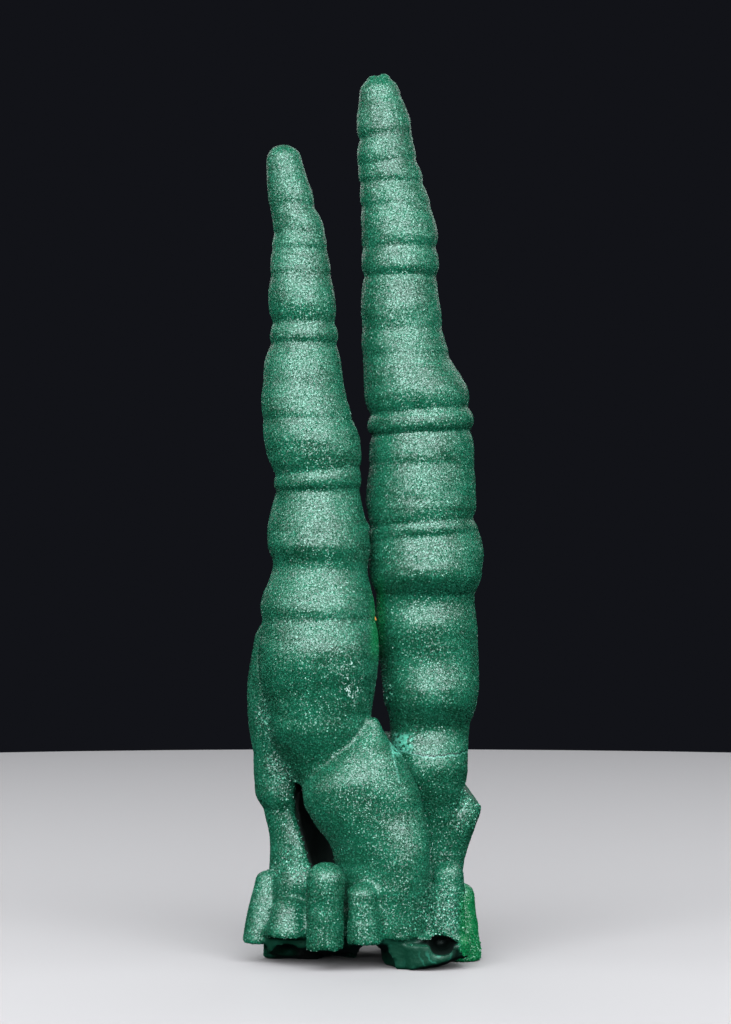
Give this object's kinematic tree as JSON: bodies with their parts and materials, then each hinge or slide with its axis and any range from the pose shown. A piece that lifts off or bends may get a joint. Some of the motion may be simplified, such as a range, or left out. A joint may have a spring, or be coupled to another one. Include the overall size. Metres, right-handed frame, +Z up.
{
  "type": "malachite stalactite cluster",
  "caption": "Cluster of ringed malachite stalactites: tall tapering fingers grown from a shared trunk, with short stubs round a broken foot.",
  "frame": {"origin": "middle of the underside, on the flat feet the cluster stands on", "axes": "+Z up along the fingers, front towards -Y, the taller finger on the +X side"},
  "size_m": [0.0478, 0.0372, 0.177],
  "materials": {
    "malachite": "velvety skin of fine green crystals that sparkles, with smooth dark green breaks underneath"
  },
  "bodies": {
    "root": {"malachite": "malachite"}
  },
  "joints": []
}
